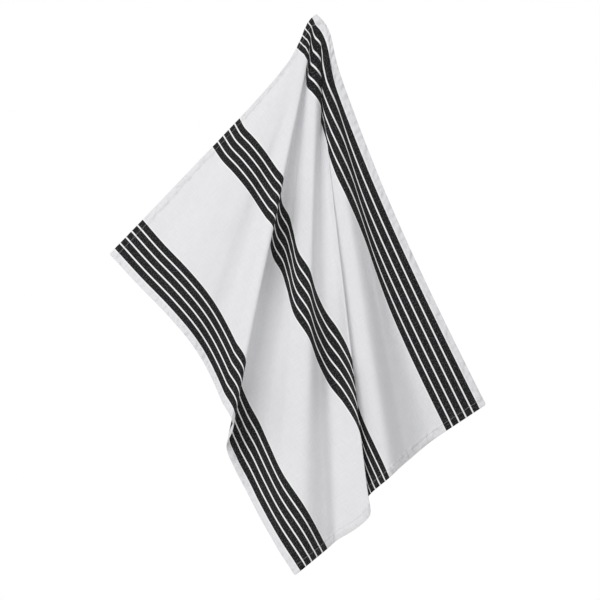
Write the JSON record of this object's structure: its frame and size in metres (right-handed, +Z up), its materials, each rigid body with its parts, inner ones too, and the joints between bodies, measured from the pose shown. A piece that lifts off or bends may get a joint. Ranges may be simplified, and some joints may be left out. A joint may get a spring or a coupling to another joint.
{
  "type": "tea towel",
  "caption": "Striped cotton tea towel hung by one corner, fallen into long folds from that corner.",
  "frame": {"origin": "the hung corner, where the right selvedge meets the upper hem", "axes": "+Z up, +X to the right seen from the front, the front of the towel faces -Y"},
  "size_m": [0.5553, 0.1205, 0.8222],
  "materials": {
    "cotton": "matt plain-weave cotton, white with groups of woven black stripes along its length"
  },
  "bodies": {
    "root": {"towel_cloth": "cotton"}
  },
  "joints": []
}
